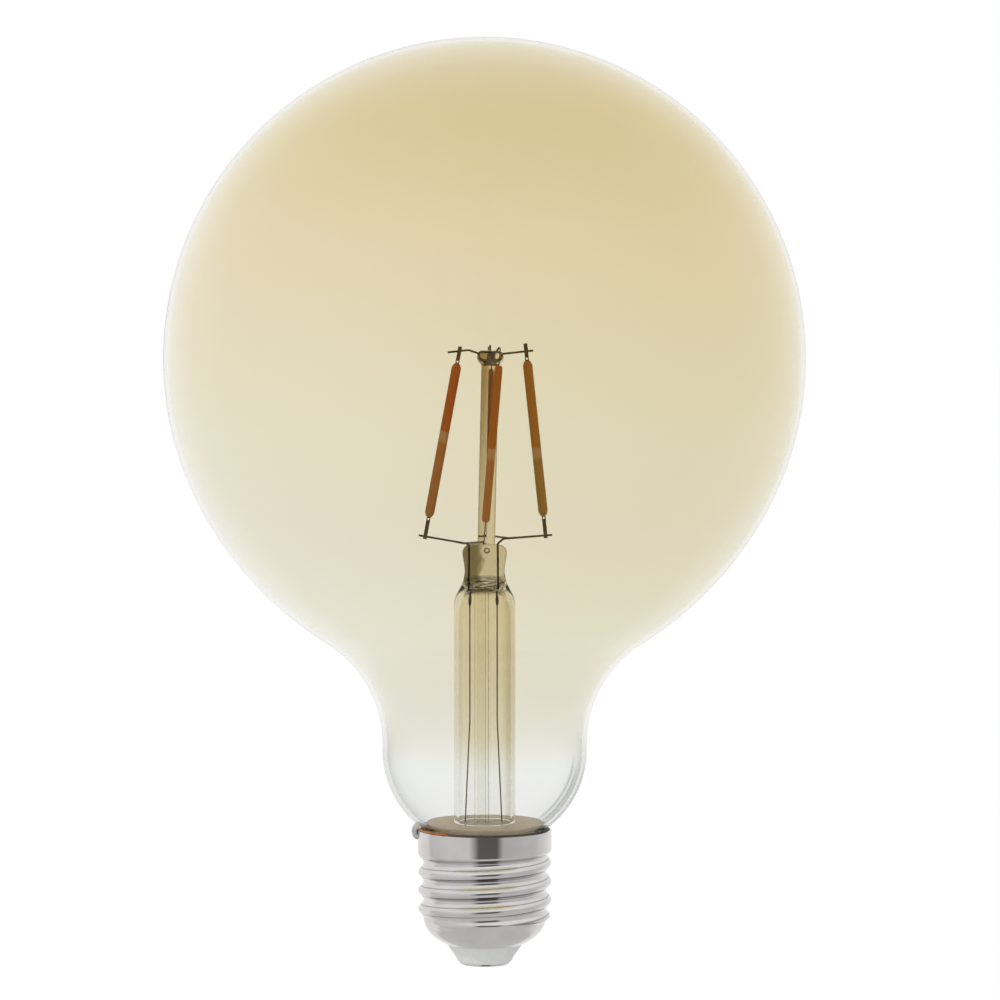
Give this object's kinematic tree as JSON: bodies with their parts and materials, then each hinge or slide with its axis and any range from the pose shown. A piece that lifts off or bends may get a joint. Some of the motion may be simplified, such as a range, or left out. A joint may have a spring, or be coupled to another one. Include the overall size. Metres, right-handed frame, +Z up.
{
  "type": "globe bulb",
  "caption": "Large amber glass globe bulb with upright light filaments on a glass stem and a rolled metal screw cap.",
  "frame": {"origin": "centre of the lower face of the cap's end contact", "axes": "+Z up the bulb's axis from the cap to the crown of the globe; the front, as pictured, faces -Y"},
  "size_m": [0.125, 0.125, 0.181],
  "materials": {
    "nickel_plate": "satin nickel plating on rolled brass",
    "cap_plastic": "moulded, matt light grey",
    "amber_glass": "blown glass with a gold coat that fades out at the neck",
    "clear_glass": "clear, flame worked",
    "basing_cement": "hard resin cement",
    "solder": "bright, smooth",
    "copper_wire": "bare drawn wire",
    "nickel_wire": "bare drawn wire",
    "filament_coat": "translucent orange-brown silicone",
    "carrier_strip": "sintered, matt",
    "filament_tab": "punched strip, dull",
    "circuit_board": "green lacquered laminate",
    "capacitor_can": "shrunk sleeve on aluminium",
    "component_lead": "tinned",
    "resistor_body": "dipped lacquer",
    "chip_body": "moulded epoxy"
  },
  "bodies": {
    "root": {"screw_shell": "nickel_plate", "cap_insulator": "cap_plastic", "end_contact": "nickel_plate", "basing_cement": "basing_cement", "rim_solder": "solder", "side_lead_wire": "copper_wire", "glass_envelope": "amber_glass", "stem_press": "clear_glass", "exhaust_tube": "clear_glass", "support_rod": "clear_glass", "side_support_wire": "nickel_wire", "cross_support_wire": "nickel_wire", "driver_board": "circuit_board", "capacitor": "capacitor_can", "capacitor_leads": "component_lead", "fusible_resistor": "resistor_body", "resistor_leads": "component_lead", "bridge_rectifier": "chip_body", "driver_chip": "chip_body", "centre_lead_wire": "copper_wire", "left_inner_lead": "nickel_wire", "left_weld_knot": "nickel_wire", "left_outer_lead": "copper_wire", "right_inner_lead": "nickel_wire", "right_weld_knot": "nickel_wire", "right_outer_lead": "copper_wire", "front_branch_lead": "nickel_wire", "rear_branch_lead": "nickel_wire", "left_filament_coat": "filament_coat", "left_filament_strip": "carrier_strip", "left_lower_tab": "filament_tab", "left_upper_tab": "filament_tab", "right_filament_coat": "filament_coat", "right_filament_strip": "carrier_strip", "right_lower_tab": "filament_tab", "right_upper_tab": "filament_tab", "front_filament_coat": "filament_coat", "front_filament_strip": "carrier_strip", "front_lower_tab": "filament_tab", "front_upper_tab": "filament_tab", "rear_filament_coat": "filament_coat", "rear_filament_strip": "carrier_strip", "rear_lower_tab": "filament_tab", "rear_upper_tab": "filament_tab"}
  },
  "joints": []
}
